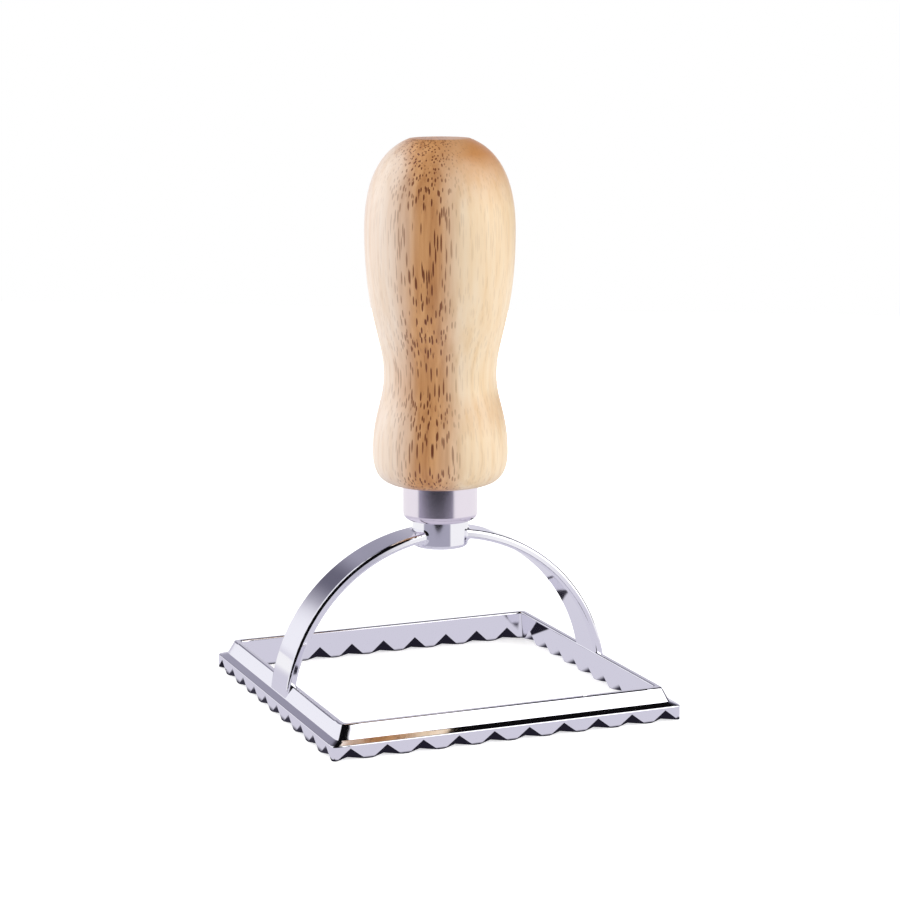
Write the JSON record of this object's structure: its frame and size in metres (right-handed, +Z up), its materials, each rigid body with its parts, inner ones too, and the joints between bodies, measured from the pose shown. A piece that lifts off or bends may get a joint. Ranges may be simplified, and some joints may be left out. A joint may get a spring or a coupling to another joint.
{
  "type": "ravioli stamp",
  "caption": "Square pasta cutter with a fluted cutting wall, a plated bow over it and a turned wooden handle on top.",
  "frame": {"origin": "middle of the cut square, level with the cutting edge", "axes": "+Z up along the handle, X along the bow from foot to foot, Y across the bow"},
  "size_m": [0.07, 0.07, 0.1081],
  "materials": {
    "plated_casting": "polished chrome plate over a casting",
    "ferrule_aluminium": "satin, turned",
    "handle_wood": "pale open-pored hardwood, clear lacquer",
    "stud_steel": "plain"
  },
  "bodies": {
    "root": {"cutter_frame": "plated_casting", "ferrule": "ferrule_aluminium", "handle": "handle_wood", "handle_stud": "stud_steel"}
  },
  "joints": []
}
